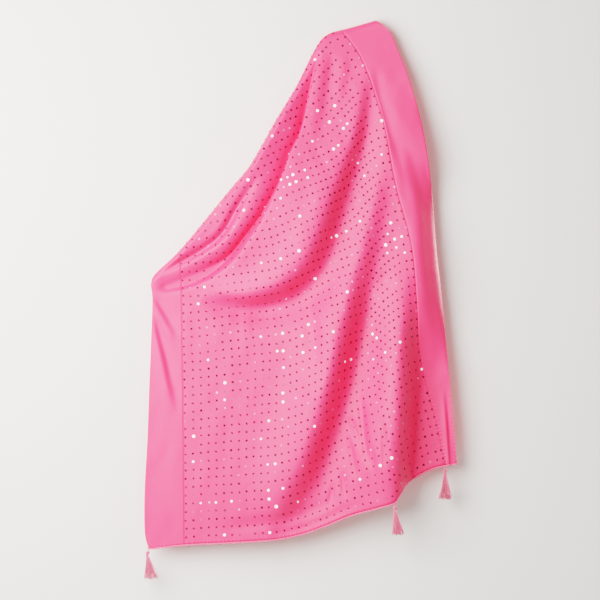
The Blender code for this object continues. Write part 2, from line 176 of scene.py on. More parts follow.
# a pleat sinks slowly to its line, then turns up sharply beyond it
pleats = {
    "crescent": [
        (-70, -45, 12, 0), (-84, -92, 15, 10), (-96, -150, 17, 19), (-112, -220, 19, 26),
        (-137, -275, 24, 30), (-158, -334, 25, 31), (-198, -405, 15, 29),
        (-236, -455, 12, 29), (-270, -496, 12, 31), (-313, -529, 13, 33),
        (-358, -551, 11, 29), (-404, -563, 8, 15),
    ],
}
# a trough sinks alike on both sides, and rises where its depth is negative
troughs = {
    "inner": [
        (-204, -318, 8, 0), (-250, -388, 9, 9), (-276, -434, 9, 12), (-300, -462, 9, 12),
        (-344, -492, 8, 10), (-392, -518, 7, 7), (-434, -541, 6, 2),
    ],
    "shoulder": [
        (-108, -95, 14, 0), (-138, -152, 20, -5), (-164, -198, 24, -7), (-195, -250, 26, -8),
        (-227, -304, 27, -8), (-264, -349, 27, -8), (-313, -409, 23, -7), (-379, -487, 17, -6),
        (-425, -533, 12, -4),
    ],
    "swagTail": [
        (-96, -560, 18, 0), (-92, -620, 20, 4), (-86, -680, 20, 5.5), (-78, -740, 20, 4), (-66, -800, 18, 0),
    ],
    "dimple": [(60, -530, 16, 0), (72, -552, 17, 3), (80, -580, 16, 0)],
    "underSwagA": [(-345, -568, 4, 0), (-300, -584, 5, 1.2), (-240, -602, 5, 1.4), (-170, -606, 5, 0)],
    "underSwagB": [(-330, -596, 4, 0), (-270, -616, 5, 1.1), (-205, -622, 5, 0)],
    "underSwagC": [(-350, -544, 4, 0), (-315, -556, 5, -1.3), (-270, -572, 5, 0)],
    "tickA": [(-12, -890, 4, 0), (-4, -920, 6, 4.2), (4, -960, 6, 3.4), (8, -985, 5, 0)],
    "tickB": [(-24, -965, 4, 0), (-19, -995, 6, 4.4), (-16, -1035, 5, 0)],
    "tickC": [(18, -800, 6, 0), (22, -845, 8, 5), (26, -890, 8, 7), (32, -930, 8, 6), (40, -965, 6, 0)],
    "tickD": [(40, -905, 4, 0), (46, -945, 6, 3.8), (46, -990, 5, 0)],
    "tickE": [(64, -850, 5, 0), (70, -910, 7, 4.6), (70, -965, 5, 0)],
    "tickF": [(-8, -850, 5, 0), (2, -868, 6, 4.2), (12, -896, 6, 3.6), (18, -920, 5, 0)],
    "tickG": [(-40, -990, 5, 0), (-44, -1020, 6, 3.6), (-52, -1052, 5, 0)],
    "nearHem": [
        (-300, -1098, 12, 0), (-230, -1090, 14, 3), (-160, -1080, 15, 4), (-90, -1058, 14, 3),
        (-30, -1030, 12, 0),
    ],
    "hemCurl": [
        (-215, -1112, 6, 0), (-160, -1108, 6, 1.6), (-108, -1096, 7, 2.4), (-58, -1076, 7, 2.2),
        (-10, -1052, 7, 1.2), (40, -1036, 6, 0),
    ],
}
# soft shallow troughs of the back half, which sink away from the wall
backFolds = {
    "long": [
        (-30, -60, 16, 0), (-50, -200, 20, 3), (-66, -420, 24, 5), (-90, -680, 26, 5), (-120, -960, 24, 3),
    ],
    "slanting": [(-90, -150, 16, 0), (-170, -300, 22, 4), (-270, -430, 24, 5), (-350, -520, 18, 2)],
    "right": [(20, -180, 16, 0), (50, -360, 20, 3), (84, -560, 22, 5), (96, -780, 22, 4), (100, -940, 18, 2)],
    "left": [(-300, -640, 18, 0), (-290, -800, 24, 3), (-300, -980, 24, 4), (-310, -1090, 22, 2)],
    "between": [(-190, -560, 22, 0), (-180, -720, 28, -2.5), (-200, -900, 30, -3), (-220, -1080, 26, -1)],
}
# soft swellings: x, z, reach across, reach up, height
swellings = [
    (-130, -390, 120, 160, 30), (-260, -450, 100, 90, 16), (-40, -700, 80, 200, 9), (75, -700, 60, 240, 8),
    (10, -865, 80, 125, 9),
]


def smoothRows(rows, steps=12):    # a smooth curve through each row of a table
    rows = np.array(rows, float)
    first, second = rows[:-1], rows[1:]
    before = np.vstack([2 * rows[0] - rows[1], rows[:-2]])
    after = np.vstack([rows[2:], 2 * rows[-1] - rows[-2]])
    t = np.linspace(0.0, 1.0, steps, endpoint=False)[:, None, None]
    curve = 0.5 * (2 * first + (second - before) * t + (2 * before - 5 * first + 4 * second - after) * t**2
                   + (3 * first - before - 3 * second + after) * t**3)
    return np.vstack([curve.transpose(1, 0, 2).reshape(-1, rows.shape[1]), rows[-1]])


class Guide:                       # a line on the cloth, read by its share of length or its first column
    def __init__(self, rows, keyed=False):
        self.rows = smoothRows(rows)
        if keyed:
            self.key = np.maximum.accumulate(self.rows[:, 0])
            self.rows = self.rows[:, 1:]
        else:
            steps = np.linalg.norm(np.diff(self.rows[:, :2], axis=0), axis=1)
            self.key = np.concatenate([[0.0], np.cumsum(steps)]) / steps.sum()

    def at(self, key):
        return np.stack([np.interp(key, self.key, column) for column in self.rows.T], axis=-1)


hemLine, foldLine = Guide(hemRows, keyed=True), Guide(foldRows, keyed=True)
leftEdge, leftSeam = Guide(leftEdgeRows), Guide(leftSeamRows)
rightSeam, rightEdge = Guide(rightSeamRows), Guide(rightEdgeRows)


def dropAt(across):                # length down the cloth from the fold to the front hem
    slanting = np.clip(1.0 - across / cloth["foldCorner"], 0.0, 1.0) ** cloth["foldBow"]
    return cloth["rightDrop"] - (cloth["rightDrop"] - cloth["leftDrop"]) * slanting


def patch(across, up, start, end, startLine, endLine):
    # x and z between two lines down the cloth, the hem and the fold
    share = ((across - start) / (end - start))[..., None]
    up = up[..., None]
    sides = (1 - share) * startLine.at(up[..., 0]) + share * endLine.at(up[..., 0])
    corners = (1 - share) * ((1 - up) * hemLine.at(start) + up * foldLine.at(start))
    corners = corners + share * ((1 - up) * hemLine.at(end) + up * foldLine.at(end))
    return (1 - up) * hemLine.at(across) + up * foldLine.at(across) + sides - corners


def turnedShare(up):               # how far the right border has turned away from the front
    width = np.linalg.norm(rightEdge.at(up) - rightSeam.at(up), axis=-1)
    soft, ease = cloth["turnSoft"]
    short = soft * np.logaddexp(0.0, (1.0 - (width / cloth["border"]) ** 2) / soft)
    return short / np.sqrt(short + ease)


def outlinePoint(across, up):      # x and z of a point of the cloth, seen square on
    onRight = across >= seamRight
    place = patch(across, up, seamLeft, seamRight, leftSeam, rightSeam)
    share = np.clip((across - seamLeft) / (seamRight - seamLeft), 0.0, 1.0)
    swayed = np.sin(math.pi * share) * np.sin(math.pi * up ** cloth["swayBow"])
    place = place + swayed[..., None] * np.array(cloth["sway"])
    left = patch(across, up, 0.0, seamLeft, leftEdge, leftSeam)
    share = np.clip((across - seamRight) / cloth["border"], 0.0, 1.0)
    bent = seamRight + (share + (np.sin(share * math.pi / 2) - share) * turnedShare(up)) * cloth["border"]
    right = patch(np.where(onRight, bent, across), up, seamRight, cloth["width"], rightSeam, rightEdge)
    place = np.where((across <= seamLeft)[..., None], left, place)
    return np.where(onRight[..., None], right, place)


def foldFrame(rows, x, z):
    # signed distance from a fold's line in its widths and in millimetres, its depth, and the way across it
    line = smoothRows(rows, foldShape["steps"])
    heading = np.gradient(line[:, :2], axis=0)
    heading /= np.linalg.norm(heading, axis=1)[:, None]
    step = np.diff(line, axis=0)
    shape = x.shape
    x, z = x.ravel(), z.ravel()
    reach = foldShape["reach"] * line[:, 2].max()
    near = np.flatnonzero((x > line[:, 0].min() - reach) & (x < line[:, 0].max() + reach)
                          & (z > line[:, 1].min() - reach) & (z < line[:, 1].max() + reach))
    distance, width, depth = np.full(x.shape, 1e6), np.ones(x.shape), np.zeros(x.shape)
    over = np.zeros(x.shape + (2,))
    if len(near):
        point = np.stack([x[near], z[near]], axis=-1)
        apart = point[:, None] - line[:-1, :2]
        share = (apart * step[:, :2]).sum(axis=-1) / (step[:, :2] ** 2).sum(axis=-1)
        share = np.clip(share, 0.0, 1.0)
        part = np.argmin(((apart - share[..., None] * step[:, :2]) ** 2).sum(axis=-1), axis=-1)
        share = share[np.arange(len(near)), part][:, None]
        foot = line[part] + share * step[part]
        ahead = (1 - share) * heading[part] + share * heading[part + 1]
        ahead /= np.linalg.norm(ahead, axis=1)[:, None]
        offset = point - foot[:, :2]
        beside = ahead[:, 0] * offset[:, 1] - ahead[:, 1] * offset[:, 0]
        past = (ahead * offset).sum(axis=-1)
        ended = ((part == 0) & (share[:, 0] == 0)) | ((part == len(step) - 1) & (share[:, 0] == 1))
        distance[near] = np.where(ended, beside, np.sign(beside) * np.linalg.norm(offset, axis=1))
        width[near] = foot[:, 2]
        faded = np.exp(-((past / (foldShape["fade"] * foot[:, 2])) ** 2))
        depth[near] = foot[:, 3] * np.where(ended, faded, 1.0)
        over[near] = np.stack([-ahead[:, 1], ahead[:, 0]], axis=-1)
    widths = np.clip(distance / width, -foldShape["furthest"], foldShape["furthest"])
    return widths.reshape(shape), distance.reshape(shape), depth.reshape(shape), over.reshape(shape + (2,))


def sinkSlopes(stand, table, x, z):
    more, soon = foldShape["uneven"]
    for rows in table.values():
        widths, _, depth, _ = foldFrame(rows, x, z)
        outer = np.maximum(np.abs(widths) - 1.0, 0.0)
        share = np.sign(widths) * (np.minimum(np.abs(widths), 1.0) + foldShape["flank"] * outer)
        uneven = 1.0 - more + more * np.tanh(soon * share)
        stand = stand - depth * uneven * share * np.exp(0.5 - share**2 / 2)
    return stand


def sinkTroughs(stand, table, x, z):
    for rows in table.values():
        widths, _, depth, _ = foldFrame(rows, x, z)
        stand = stand - depth * np.exp(-(widths**2))
    return stand


def standOff(x, z):                # how far the front half stands in front of the hold
    least, more = cloth["frontStand"]
    rightward = np.maximum((x - cloth["standFrom"]) / cloth["standAcross"], 0.0) ** cloth["standBow"]
    stand = least + more * rightward * (1.0 - np.exp(np.minimum(z, 0.0) / cloth["standDown"]))
    for centreX, centreZ, reachX, reachZ, height in swellings:
        stand = stand + height * np.exp(-(((x - centreX) / reachX) ** 2) - ((z - centreZ) / reachZ) ** 2)
    stand = sinkSlopes(stand, slopes, x, z)
    for rows in stepDowns.values():
        widths, _, depth, _ = foldFrame(rows, x, z)
        stand = stand - depth * (0.5 + 0.5 * np.tanh(widths))
    for rows in pleats.values():
        widths, distance, depth, _ = foldFrame(rows, x, z)
        rise = np.interp(z, foldShape["pleatLevels"], foldShape["pleatRise"])
        rounded = foldShape["pleatRound"]
        sinking = np.exp(rounded - np.sqrt(np.minimum(widths, 0.0) ** 2 + rounded**2))
        rising = np.exp(-((np.maximum(distance, 0.0) / rise) ** 2))
        stand = stand - depth * sinking * rising
    return sinkTroughs(stand, troughs, x, z)


def fallOver(x, z):                # the lit side of each pleat pulled over its valley, as x and z to add
    moved = np.zeros(x.shape + (2,))
    for rows in pleats.values():
        widths, distance, depth, over = foldFrame(rows, x, z)
        rise = np.interp(z, foldShape["pleatLevels"], foldShape["pleatRise"])
        pull = np.clip(distance / (foldShape["overRise"] * rise), 0.0, 1.0)
        fading = np.exp(-((np.maximum(widths, 0.0) / foldShape["overReach"]) ** 2))
        pull = pull * pull * (3 - 2 * pull) * fading
        pull = pull * np.interp(z, foldShape["pleatLevels"], foldShape["pleatOver"])
        pull = pull * np.minimum(depth / foldShape["overDepth"], 1.0)
        moved = moved - pull[..., None] * over
    return moved


def backStand(x, z):               # how far the back half lies behind the hold
    downward = 1.0 - np.exp(np.minimum(z, 0.0) / cloth["backDown"])
    waves = sum(height * np.sin(x / length + start) for height, length, start in cloth["backWaves"])
    return sinkTroughs(cloth["backStand"] + downward * waves, backFolds, x, z)


def clothPoint(across, along):     # along is 0 at the front hem, 1 to 2 over the fold and 3 at the back hem
    across, along = np.broadcast_arrays(np.asarray(across, float), np.asarray(along, float))
    drop = dropAt(across)
    angle = math.pi / 2 - math.pi * np.clip(along - 1.0, 0.0, 1.0)
    level = 1.0 - cloth["roll"] / drop
    shorter = cloth["backShorter"] * np.clip(along - 2.0, 0.0, 1.0) / drop
    up = np.where(along <= 1.0, along * level, (3.0 - along) * level + shorter)
    rolling = (along > 1.0) & (along < 2.0)
    up = np.where(rolling, 1.0 - cloth["roll"] * (1.0 - np.cos(angle)) / drop, up)
    inside = np.clip(along - 1.5, 0.0, 1.0)
    inside = cloth["backInset"] * inside * inside * (3 - 2 * inside) * (1.0 - up) ** cloth["insetBow"]
    place = outlinePoint(across + inside * (1.0 - 2.0 * across / cloth["width"]), up)
    x, z = place[..., 0], place[..., 1]
    # the right border turns back round the side
    share = np.clip((across - seamRight) / cloth["border"], 0.0, 1.0)
    seam = rightSeam.at(up)
    room = np.maximum(standOff(seam[..., 0], seam[..., 1]) - cloth["borderClear"], 0.0)
    blend = cloth["turnBlend"]
    back = -blend * np.logaddexp(-turnedShare(up) * cloth["border"] / blend, -room / blend)
    followed = seam[..., 0] + (x - seam[..., 0]) * cloth["borderFollows"]
    held = standOff(np.where(share > 0, followed, x), z)
    turned = sinkSlopes(held, borderSlopes, x, z) - back * (1.0 - np.cos(share * math.pi / 2))
    stand = np.where(share > 0, turned, held)
    # the hem leans back, and no part comes nearer the hold's plane than it may
    left, right = cloth["tuck"]
    tuck = left + (right - left) / (1.0 + np.exp(-(x - cloth["tuckAt"]) / cloth["tuckBlend"]))
    stand = stand - tuck * np.exp(-((np.clip(along, 0.0, 1.0) * drop / cloth["tuckReach"]) ** 2))
    least, blend = cloth["leastStand"], cloth["leastBlend"]
    stand = least + blend * np.logaddexp(0.0, (stand - least) / blend)
    y = np.where(angle >= 0, -stand * np.sin(angle), backStand(x, z) * np.sin(-angle))
    moved = fallOver(x, z) * np.clip(3.0 - 2.0 * along, 0.0, 1.0)[..., None]
    return np.stack([x + moved[..., 0], y, z + moved[..., 1]], axis=-1)


# natural unevenness of the hanging cloth, as a few dozen long soft ripples
ripple = {
    "seed": 7,
    "count": 26,
    "shortest": 30.0,
    "longest": 120.0,
    "height": 0.136,
    "growth": 0.8,                 # how fast they get higher with their length
    "turn": 0.55,                  # spread of their direction in radians: most run down the cloth
    "bend": 0.35,
    "bendLength": 2.3,             # in ripples
    "fadeOver": 90.0,              # they fade towards the fold and its holds
}


def softRipples(x, z):
    chance = np.random.default_rng(ripple["seed"])
    total = np.zeros(np.shape(x))
    for _ in range(ripple["count"]):
        length = math.exp(chance.uniform(math.log(ripple["shortest"]), math.log(ripple["longest"])))
        turn = chance.normal(0.0, ripple["turn"])
        start = chance.uniform(0.0, 2 * math.pi)
        bend = ripple["bend"] * np.sin(z / (ripple["bendLength"] * length) + start)
        wave = np.sin(2 * math.pi * (x * math.cos(turn) + z * math.sin(turn)) / length + start + bend)
        total = total + ripple["height"] * (length / ripple["longest"]) ** ripple["growth"] * wave
    return total


def deselectAll():
    if bpy.context.object and bpy.context.object.mode != "OBJECT":
        bpy.ops.object.mode_set(mode="OBJECT")
    bpy.ops.object.select_all(action="DESELECT")


def addMesh(name, points, faces, material, smooth=True):     # points in metres
    mesh = bpy.data.meshes.new(name)
    mesh.from_pydata(points.tolist(), [], faces)
    mesh.update()
    if smooth:
        mesh.shade_smooth()
    mesh.materials.append(material)
    piece = bpy.data.objects.new(name, mesh)
    bpy.context.collection.objects.link(piece)
    return piece


def finishPiece(piece, slotName, *nodes):
    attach(piece, "root")
    if nodes:
        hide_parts(*nodes)


def applyModifier(piece, kind, **settings):
    deselectAll()
    bpy.context.view_layer.objects.active = piece
    piece.select_set(True)
    modifier = piece.modifiers.new(kind.title(), kind)
    for key, value in settings.items():
        setattr(modifier, key, value)
    bpy.ops.object.modifier_apply(modifier=modifier.name)


# materials
finish = {
    "pink": (0.985, 0.0425, 0.121),
    "pinkDeep": (0.965, 0.0345, 0.103),
    "hemPink": (0.93, 0.105, 0.21),
    "threadPink": (0.88, 0.125, 0.22),
    "sequinDark": (0.032, 0.004, 0.018),
    "sequinRose": (0.70, 0.16, 0.27),
    # pale sequins, and the white painted on sequins as glints: a painted highlight
    "sequinPaleAndPaintedGlint": (0.86, 0.80, 0.84),
    "wallGrey": (0.56, 0.548, 0.532),
    "floorGrey": (0.47, 0.46, 0.45),
}


class Shading:                     # a new material, its principled shader and its other nodes
    def __init__(self, name, roughness):
        self.material = bpy.data.materials.new(name)
        self.material.use_nodes = True
        self.tree = self.material.node_tree
        self.shader = self.tree.nodes["Principled BSDF"]
        self.place = self.add("TexCoord").outputs
        self.put(self.shader, Roughness=roughness)

    def join(self, value, socket):           # value is a number, a colour or another node's output
        if hasattr(value, "links"):
            self.tree.links.new(value, socket)
        else:
            socket.default_value = (*value, 1.0) if socket.type == "RGBA" else value

    def put(self, made, **inputs):
        for key, value in inputs.items():
            self.join(value, made.inputs[key.replace("_", " ")])

    def add(self, kind, **inputs):
        made = self.tree.nodes.new("ShaderNode" + kind)
        self.put(made, **inputs)
        return made

    def maths(self, operation, *values, kind="Math"):
        made = self.add(kind)
        made.operation = operation
        for value, socket in zip(values, made.inputs):
            self.join(value, socket)
        return made.outputs[0]

    def mix(self, share, first, second):
        made = self.add("Mix")
        made.data_type = "RGBA"
        self.put(made, Factor=share, A=first, B=second)
        return made.outputs["Result"]

    def attribute(self, name):
        made = self.add("Attribute")
        made.attribute_name = name
        return made.outputs["Fac"]

    def noise(self, vector, scale, detail, output="Fac", **more):
        return self.add("TexNoise", Vector=vector, Scale=scale, Detail=detail, **more).outputs[output]

    def bump(self, height, strength, depth, **under):
        return self.add("Bump", Height=height, Strength=strength, Distance=depth, **under).outputs["Normal"]


# the cloth's surface, in metres
fabric = {
    "roughness": 0.58,
    "sheen": 0.06,
    "specular": 0.45,
    "slub": (900.0, 40.0, 1.0),    # long thin threads: how close across, and along
    "slubShare": 0.3,
    "thread": 0.00055,             # from one thread of the plain weave to the next
    "jostle": 0.0011,              # how far the threads wander
    "weaveShare": 0.25,
    "weaveDepth": 0.00025,
    "creaseDepth": 0.0010,
    "gatherWander": 9.0,           # radians
    "gatherDepth": 0.0007,
}


def clothMaterial(name, light, deep):
    made = Shading(name, fabric["roughness"])
    made.put(made.shader, Sheen_Weight=fabric["sheen"], Sheen_Roughness=0.5, Sheen_Tint=(1.0, 0.86, 0.93),
             Specular_IOR_Level=fabric["specular"])
    # cloudy dye, and slubs that take it a little differently
    onPiece, onCloth = made.place["Object"], made.place["UV"]
    stretched = made.add("Mapping", Vector=onCloth, Scale=fabric["slub"]).outputs["Vector"]
    patchy = made.maths("MULTIPLY", made.noise(onPiece, 9.0, 3.0), 1.0 - fabric["slubShare"])
    streaky = made.maths("MULTIPLY", made.noise(stretched, 1.0, 2.0), fabric["slubShare"])
    made.put(made.shader, Base_Color=made.mix(made.maths("ADD", patchy, streaky), light, deep))
    # plain weave, with threads across and along, and the crepe's fine grain
    wander, jostle = made.noise(onCloth, 900.0, 1.0, "Color"), (fabric["jostle"], fabric["jostle"], 0.0)
    shaken = made.maths("MULTIPLY_ADD", wander, jostle, onCloth, kind="VectorMath")
    flat = made.add("SeparateXYZ", Vector=shaken).outputs
    turns = 2 * math.pi / fabric["thread"]
    weft, warp = (made.maths("SINE", made.maths("MULTIPLY", flat[side], turns)) for side in ("X", "Y"))
    woven = made.maths("MULTIPLY", made.maths("MULTIPLY", weft, warp), fabric["weaveShare"])
    height = made.maths("ADD", woven, made.noise(onPiece, 700.0, 2.0))
    grain = made.bump(height, 0.35, fabric["weaveDepth"])
    # faint creases left by folding, soft and sparse
    crumple = made.noise(onPiece, 26.0, 4.0, Roughness=0.62)
    creased = made.bump(crumple, 0.5, fabric["creaseDepth"], Normal=grain)
    # small gathers pulled up by the seam and hem stitching
    wobble = made.maths("MULTIPLY", made.noise(onPiece, 60.0, 1.0), fabric["gatherWander"])
    wave = made.maths("SINE", made.maths("ADD", made.attribute("puckerRun"), wobble))
    gathers = made.maths("MULTIPLY", wave, made.attribute("pucker"))
    made.put(made.shader, Normal=made.bump(gathers, 1.0, fabric["gatherDepth"], Normal=creased))
    return made.material


def threadMaterial(name, colour, scale=1400.0):
    made = Shading(name, 0.55)
    made.put(made.shader, Sheen_Weight=0.35, Sheen_Tint=(1.0, 0.85, 0.92))
    fuzz = made.noise(made.place["Object"], scale, 1.0)
    deep = tuple(channel * 0.72 for channel in colour)
    made.put(made.shader, Base_Color=made.mix(fuzz, colour, deep), Normal=made.bump(fuzz, 0.4, 0.0002))
    return made.material


def sequinMaterial():              # dark, dusky rose or pale by each sequin's own shade, and white for painted glints
    made = Shading("sequinMetal", 0.5)
    made.put(made.shader, Specular_IOR_Level=0.12)
    doubled = made.maths("MULTIPLY", made.attribute("shade"), 2.0)
    dusky = made.mix(doubled, finish["sequinDark"], finish["sequinRose"])
    # at full shade the colour is white, a painted glint standing in for the lamp's reflection
    colour = made.mix(made.maths("SUBTRACT", doubled, 1.0), dusky, finish["sequinPaleAndPaintedGlint"])
    worn = made.noise(made.place["Object"], 900.0, 1.0)
    made.put(made.shader, Base_Color=colour, Normal=made.bump(worn, 0.15, 0.0002))
    return made.material


pinkCloth = clothMaterial("pinkCloth", finish["pink"], finish["pinkDeep"])
borderCloth = clothMaterial("borderCloth", finish["pink"], finish["pinkDeep"])
hemCloth = threadMaterial("hemCloth", finish["hemPink"], 600.0)
stitchThread = threadMaterial("stitchThread", finish["hemPink"])
seamThread = threadMaterial("seamThread", finish["pink"])
tasselThread = threadMaterial("tasselThread", finish["threadPink"])
sequinMetal = sequinMaterial()
print("materials made")


# the three strips of cloth, each one sheet from its front hem over the fold to its back hem
sheets = {                         # where each begins and ends, its column's width, and its rows
    "field": {
        "from": seamLeft, "to": seamRight, "column": 4.0, "front": 130, "fine": 108, "over": 10, "back": 36,
    },
    "borderLeft": {
        "from": 0.0, "to": seamLeft, "column": 3.0, "front": 180, "fine": 90, "over": 10, "back": 60,
    },
    "borderRight": {
        "from": seamRight, "to": cloth["width"], "column": 3.0, "front": 320, "fine": 60, "over": 12,
        "back": 60,
    },
    "fineFrom": 0.80,              # rows stand closer from here up to the fold
    "seamGap": 0.15,
}
# small gathers at the seams and hems
pucker = {
    "reach": 7.0,                  # how far they spread from a seam or hem
    "length": 8.5,
    "seam": (0.05, 0.8),           # along the seams, and how much more low down on the right
    "rightFrom": 400.0,
    "low": 200.0,
    "hem": 0.6,
    "edge": (14.0, 130.0),         # reach across and up from the right end of the hem
}


def lengthFromFold(across, along): # distance along the cloth, positive on the front
    drop = dropAt(across) - cloth["roll"]
    around = math.pi * cloth["roll"]
    front = (1.0 - np.minimum(along, 1.0)) * drop + around / 2
    back = np.clip(along - 2.0, 0.0, 1.0) * drop + around / 2
    over = (1.5 - np.clip(along, 1.0, 2.0)) * around
    return np.where(along <= 1.0, front, np.where(along >= 2.0, -back, over))


def ripplesAt(across, along, place):
    fade = np.clip(np.abs(along - 1.5) - 0.5, 0.0, 1.0)
    fade = 1.0 - np.exp(-((fade * dropAt(across) / ripple["fadeOver"]) ** 2))
    return softRipples(place[..., 0], place[..., 2]) * fade


def hungPoint(across, along):      # the cloth with its ripples
    across, along = np.broadcast_arrays(np.asarray(across, float), np.asarray(along, float))
    place = clothPoint(across, along)
    lift = ripplesAt(across, along, place) * np.where(along < 1.5, -1.0, 1.0)
    return place + np.stack([0 * lift, lift, 0 * lift], axis=-1)


def hungNormal(across, along, reach=2.0):
    side = hungPoint(across + reach, along) - hungPoint(across - reach, along)
    step = reach / dropAt(across)
    ahead, behind = np.minimum(along + step, 3.0), np.maximum(along - step, 0.0)
    normal = np.cross(side, hungPoint(across, ahead) - hungPoint(across, behind))
    return normal / np.linalg.norm(normal, axis=-1)[..., None]


def makeSheet(name, material):
    facts = sheets[name]
    start = facts["from"] + sheets["seamGap"] * (facts["from"] > 0.0)
    end = facts["to"] - sheets["seamGap"] * (facts["to"] < cloth["width"])
    columns = np.linspace(start, end, int(round((end - start) / facts["column"])) + 1)
    rows = np.concatenate([
        np.linspace(hemShare, sheets["fineFrom"], facts["front"]),
        np.linspace(sheets["fineFrom"], 1.0, facts["fine"] + 1)[1:],
        np.linspace(1.0, 2.0, facts["over"] + 1)[1:-1],
        np.linspace(2.0, 3.0 - hemShare, facts["back"]),
    ])
    across, along = np.meshgrid(columns, rows)
    place = hungPoint(across, along)
    count, wide = across.shape
    corner = (np.arange(count - 1)[:, None] * wide + np.arange(wide - 1)).ravel()
    faces = np.stack([corner, corner + 1, corner + wide + 1, corner + wide], axis=-1)
    sheet = addMesh(name, place.reshape(-1, 3) * mm, faces.tolist(), material)
    run = lengthFromFold(across, along)
    layer = sheet.data.uv_layers.new(name="cloth")
    loops = np.empty(len(sheet.data.loops), np.int32)
    sheet.data.loops.foreach_get("vertex_index", loops)
    flat = np.stack([across.ravel(), run.ravel()], axis=-1) * mm
    layer.data.foreach_set("uv", flat[loops].ravel())
    # gathers run along each seam and hem
    beside = np.minimum(np.abs(across - seamLeft), np.abs(across - seamRight))
    above = np.where(along < 1.5, along, 3.0 - along) * dropAt(across)
    slight, more = pucker["seam"]
    lower = slight + more * np.exp(-((above / pucker["low"]) ** 2))
    seamPull = np.exp(-((beside / pucker["reach"]) ** 2))
    seamPull = seamPull * np.where(across > pucker["rightFrom"], lower, slight)
    hemPull = pucker["hem"] * np.exp(-((above / pucker["reach"]) ** 2))
    edgeAcross, edgeUp = pucker["edge"]
    edgePull = np.exp(-(((cloth["width"] - across) / edgeAcross) ** 2) - (above / edgeUp) ** 2)
    seamPull = np.maximum(seamPull, edgePull)
    turns = 2 * math.pi / pucker["length"]
    phase = np.where(seamPull > hemPull, run, across) * turns
    for key, value in (("pucker", np.maximum(seamPull, hemPull)), ("puckerRun", phase)):
        attribute = sheet.data.attributes.new(key, "FLOAT", "POINT")
        attribute.data.foreach_set("value", value.ravel().astype(np.float32))
    applyModifier(sheet, "SOLIDIFY", thickness=cloth["thickness"] * mm, offset=-1.0)
    return sheet


field = makeSheet("field", pinkCloth)
finishPiece(field, "field_cloth", "field_front", "field_back")
borderLeft = makeSheet("borderLeft", borderCloth)
finishPiece(borderLeft, "border_cloth", "border_left_front", "border_left_back")
borderRight = makeSheet("borderRight", borderCloth)
finishPiece(borderRight, "border_cloth", "border_right_front", "border_right_back")
print("cloth hung")


# rolled hems, seams and their stitches
edging = {
    "hemRadius": 1.5,
    "hemGap": 0.3,
    "hemSides": 10,
    "hemStep": 3.0,
    "hemLumps": [(0.09, 1.9), (0.05, 0.53)],       # share of the radius, and radians from step to step
    "whipEvery": 5.5,              # spacing of the stitches round the hem
    "whipThick": 0.28,
    "whipClear": 0.12,
    "whipSlant": 32.0,             # degrees
    "seamWide": 0.7,               # half the width of the seam's fold
    "seamHigh": 0.06,
    "seamSides": 6,
    "seamStep": 4.0,
    "overSteps": 14,
    "stitchEvery": 4.4,
    "stitchLong": 2.8,
    "stitchThick": 0.17,           # half its thickness
    "stitchOffset": 2.0,
    "stitchLift": 0.1,
}


def unit(vectors):
    return vectors / np.maximum(np.linalg.norm(vectors, axis=-1), 1e-9)[..., None]


def tubeMesh(path, outward, high, wide, sides):  # points and faces of a closed tube along a path
    heading = unit(np.gradient(path, axis=0))
    outward = unit(outward - (outward * heading).sum(axis=-1)[:, None] * heading)
    beside = np.cross(heading, outward)
    high, wide = np.broadcast_to(high, len(path)), np.broadcast_to(wide, len(path))
    angles = 2 * math.pi * np.arange(sides) / sides
    rings = [path + np.cos(a) * high[:, None] * outward + np.sin(a) * wide[:, None] * beside for a in angles]
    points = np.stack(rings, axis=1).reshape(-1, 3)
    faces = []
    for ring in range(len(path) - 1):
        for step in range(sides):
            corner, after = ring * sides + step, ring * sides + (step + 1) % sides
            faces.append((corner, after, after + sides, corner + sides))
    last = (len(path) - 1) * sides
    faces.append(tuple(range(sides - 1, -1, -1)))
    faces.append(tuple(last + step for step in range(sides)))
    return points, faces


def addTube(name, path, outward, high, wide, sides, material):
    points, faces = tubeMesh(path, outward, high, wide, sides)
    return addMesh(name, points * mm, faces, material)


def takeShape(piece):              # points and faces of a small modelled shape, which is then put away
    points = np.array([vert.co[:] for vert in piece.data.vertices])
    faces = [tuple(face.vertices) for face in piece.data.polygons]
    bpy.data.objects.remove(piece)
    return points, faces


def copies(name, shape, places, turns, sizes, material, smooth=False):
    # one mesh of a small shape set down many times, and turns holds three axes for each copy
    points, faces = shape
    count = len(points)
    spread = np.einsum("cij,pj->cpi", turns, points) * sizes[:, None, None] + places[:, None, :] * mm
    every = []
    for step in range(len(places)):
        every += [tuple(index + step * count for index in face) for face in faces]
    return addMesh(name, spread.reshape(-1, 3), every, material, smooth)


def evenly(path, spacing):         # fractional places along a path at an even spacing
    steps = np.concatenate([[0.0], np.cumsum(np.linalg.norm(np.diff(path, axis=0), axis=1))])
    wanted = np.arange(spacing / 2, steps[-1], spacing)
    return np.interp(wanted, steps, np.arange(len(path)))


def pick(rows, where):             # rows of a table at fractional places
    return np.stack([np.interp(where, np.arange(len(rows)), column) for column in rows.T], axis=-1)


def hemPath(front):
    across = np.linspace(0.0, cloth["width"], int(cloth["width"] / edging["hemStep"]) + 1)
    along = np.full_like(across, hemShare if front else 3.0 - hemShare)
    normal = hungNormal(across, along)
    edge = hungPoint(across, along) - cloth["thickness"] / 2 * normal
    heading = unit(np.gradient(edge, axis=0))
    outward = unit(np.cross(heading, normal) * (1.0 if front else -1.0))
    return edge + outward * (edging["hemRadius"] + edging["hemGap"]), outward, normal


